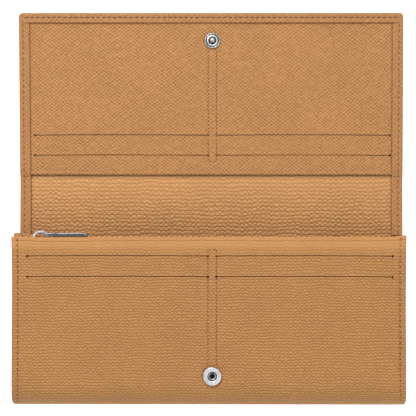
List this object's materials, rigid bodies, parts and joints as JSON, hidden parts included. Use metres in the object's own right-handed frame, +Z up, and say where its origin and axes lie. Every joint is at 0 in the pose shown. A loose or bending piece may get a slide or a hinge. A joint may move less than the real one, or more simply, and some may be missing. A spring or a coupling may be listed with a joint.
{
  "type": "long wallet",
  "caption": "Long flap wallet in pebbled tan leather, lying open: slotted card panels, note spaces, a zipped coin pocket and a press stud.",
  "frame": {"origin": "bottom centre of the open wallet's box, on the surface it lies on", "axes": "+X along the wallet's width, +Y from the pocket body to the opened flap, +Z up from the surface"},
  "size_m": [0.1958, 0.1972, 0.0216],
  "materials": {
    "leather": "pebbled full grain, satin",
    "lining": "thin smooth leather, matt",
    "board": "pressed fibre board, matt",
    "slip": "fine plain weave, matt",
    "zip_tape": "woven tape, matt",
    "zip_metal": "polished nickel",
    "snap_metal": "polished nickel"
  },
  "bodies": {
    "back": {"back_cover": "leather", "bottom_fold": "leather", "back_board": "board", "back_lining": "lining", "rear_gusset_left": "lining", "rear_gusset_right": "lining"},
    "spine": {"spine_cover": "leather", "spine_lining": "leather"},
    "flap": {"flap_cover": "leather", "flap_board": "board", "flap_lining": "lining", "flap_card_slip_1_left": "slip", "flap_card_slip_2_left": "slip", "flap_card_slip_1_right": "slip", "flap_card_slip_2_right": "slip", "flap_card_panel": "leather", "snap_stud": "snap_metal", "stud_rivet": "snap_metal"},
    "coin_pocket": {"coin_pocket_rear_wall": "leather", "coin_pocket_front_wall": "leather", "coin_pocket_base": "lining", "coin_pocket_side_left": "lining", "coin_pocket_side_right": "lining", "front_gusset_left": "lining", "front_gusset_right": "lining", "zip_stop_left": "zip_metal", "zip_stop_right": "zip_metal", "zip_tape_rear": "zip_tape", "zip_tape_front": "zip_tape", "zip_teeth_rear": "zip_metal", "zip_teeth_front": "zip_metal"},
    "slider": {"zip_slider": "zip_metal"},
    "puller": {"zip_puller": "zip_metal"},
    "front_section": {"front_panel": "leather", "front_lining": "lining", "front_card_slip_1_left": "slip", "front_card_slip_2_left": "slip", "front_card_slip_1_right": "slip", "front_card_slip_2_right": "slip", "snap_socket": "snap_metal", "socket_spring": "snap_metal", "socket_rivet": "snap_metal"}
  },
  "joints": [
    {"name": "spine_fold", "type": "hinge", "parent": "back", "child": "spine", "pos_m": [0, -0.0102, 0.0026], "axis": [1, 0, 0], "range_deg": [0, 90]},
    {"name": "flap_fold", "type": "hinge", "parent": "spine", "child": "flap", "pos_m": [0, 0.0113, 0.0026], "axis": [1, 0, 0], "range_deg": [0, 90]},
    {"name": "pocket_fan", "type": "hinge", "parent": "back", "child": "coin_pocket", "pos_m": [0, -0.098, 0.0083], "axis": [1, 0, 0], "range_deg": [-2.5, 0], "deforming": ["rear_gusset_left", "rear_gusset_right"]},
    {"name": "front_fan", "type": "hinge", "parent": "coin_pocket", "child": "front_section", "pos_m": [0, -0.098, 0.0083], "axis": [1, 0, 0], "range_deg": [-2.5, 0], "deforming": ["front_gusset_left", "front_gusset_right"]},
    {"name": "slider_travel", "type": "slide", "parent": "coin_pocket", "child": "slider", "axis": [1, 0, 0], "range_m": [0, 0.16]},
    {"name": "puller_swing", "type": "hinge", "parent": "slider", "child": "puller", "pos_m": [-0.0829, -0.01435, 0.00985], "axis": [0, 0, 1], "range_deg": [0, 180]}
  ],
  "couplings": [
    {"joint": "flap_fold", "follows": "spine_fold", "ratio": 1},
    {"joint": "front_fan", "follows": "pocket_fan", "ratio": 1}
  ]
}
